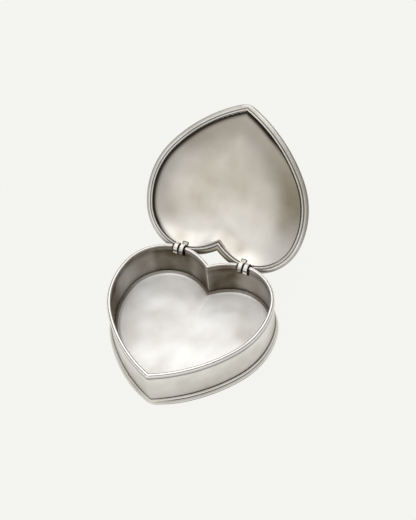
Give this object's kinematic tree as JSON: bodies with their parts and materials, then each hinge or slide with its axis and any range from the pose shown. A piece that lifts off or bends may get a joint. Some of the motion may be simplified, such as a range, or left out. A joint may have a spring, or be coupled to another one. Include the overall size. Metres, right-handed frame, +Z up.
{
  "type": "heart-shaped keepsake box",
  "caption": "Heart-shaped pewter keepsake box with a moulded foot and rim and a domed lid that opens on small barrel hinges beside the cleft.",
  "frame": {"origin": "on the flat underside, in the middle of the heart-shaped body: halfway across it, and about halfway from the point to the backs of the lobes", "axes": "+Z up; +Y from the heart's point towards its cleft and the hinges, the way the lid swings open; +X to the right seen from the point, along the hinge pins"},
  "size_m": [0.11, 0.1724, 0.104],
  "materials": {
    "cast_pewter": "cast pewter, satin, with darker metal in the grooves",
    "sheet_pewter": "rolled pewter sheet, softly polished and a little cloudy",
    "hinge_pewter": "polished pewter, brighter than the body",
    "pin_metal": "dull steel pin"
  },
  "bodies": {
    "box": {"floor_plate": "sheet_pewter", "foot_moulding": "cast_pewter", "wall_band": "sheet_pewter", "rim_moulding": "cast_pewter", "rim_cleft": "cast_pewter", "body_knuckle_left": "hinge_pewter", "body_knuckle_right": "hinge_pewter", "hinge_pin_left": "pin_metal", "hinge_pin_right": "pin_metal"},
    "lid": {"lid_knuckle_left": "hinge_pewter", "lid_knuckle_right": "hinge_pewter", "lid_moulding": "cast_pewter", "lid_panel": "sheet_pewter"}
  },
  "joints": [
    {"name": "lid_hinge", "type": "hinge", "parent": "box", "child": "lid", "pos_m": [0, 0.04945, 0.02765], "axis": [1, 0, 0], "range_deg": [0, 130]}
  ]
}
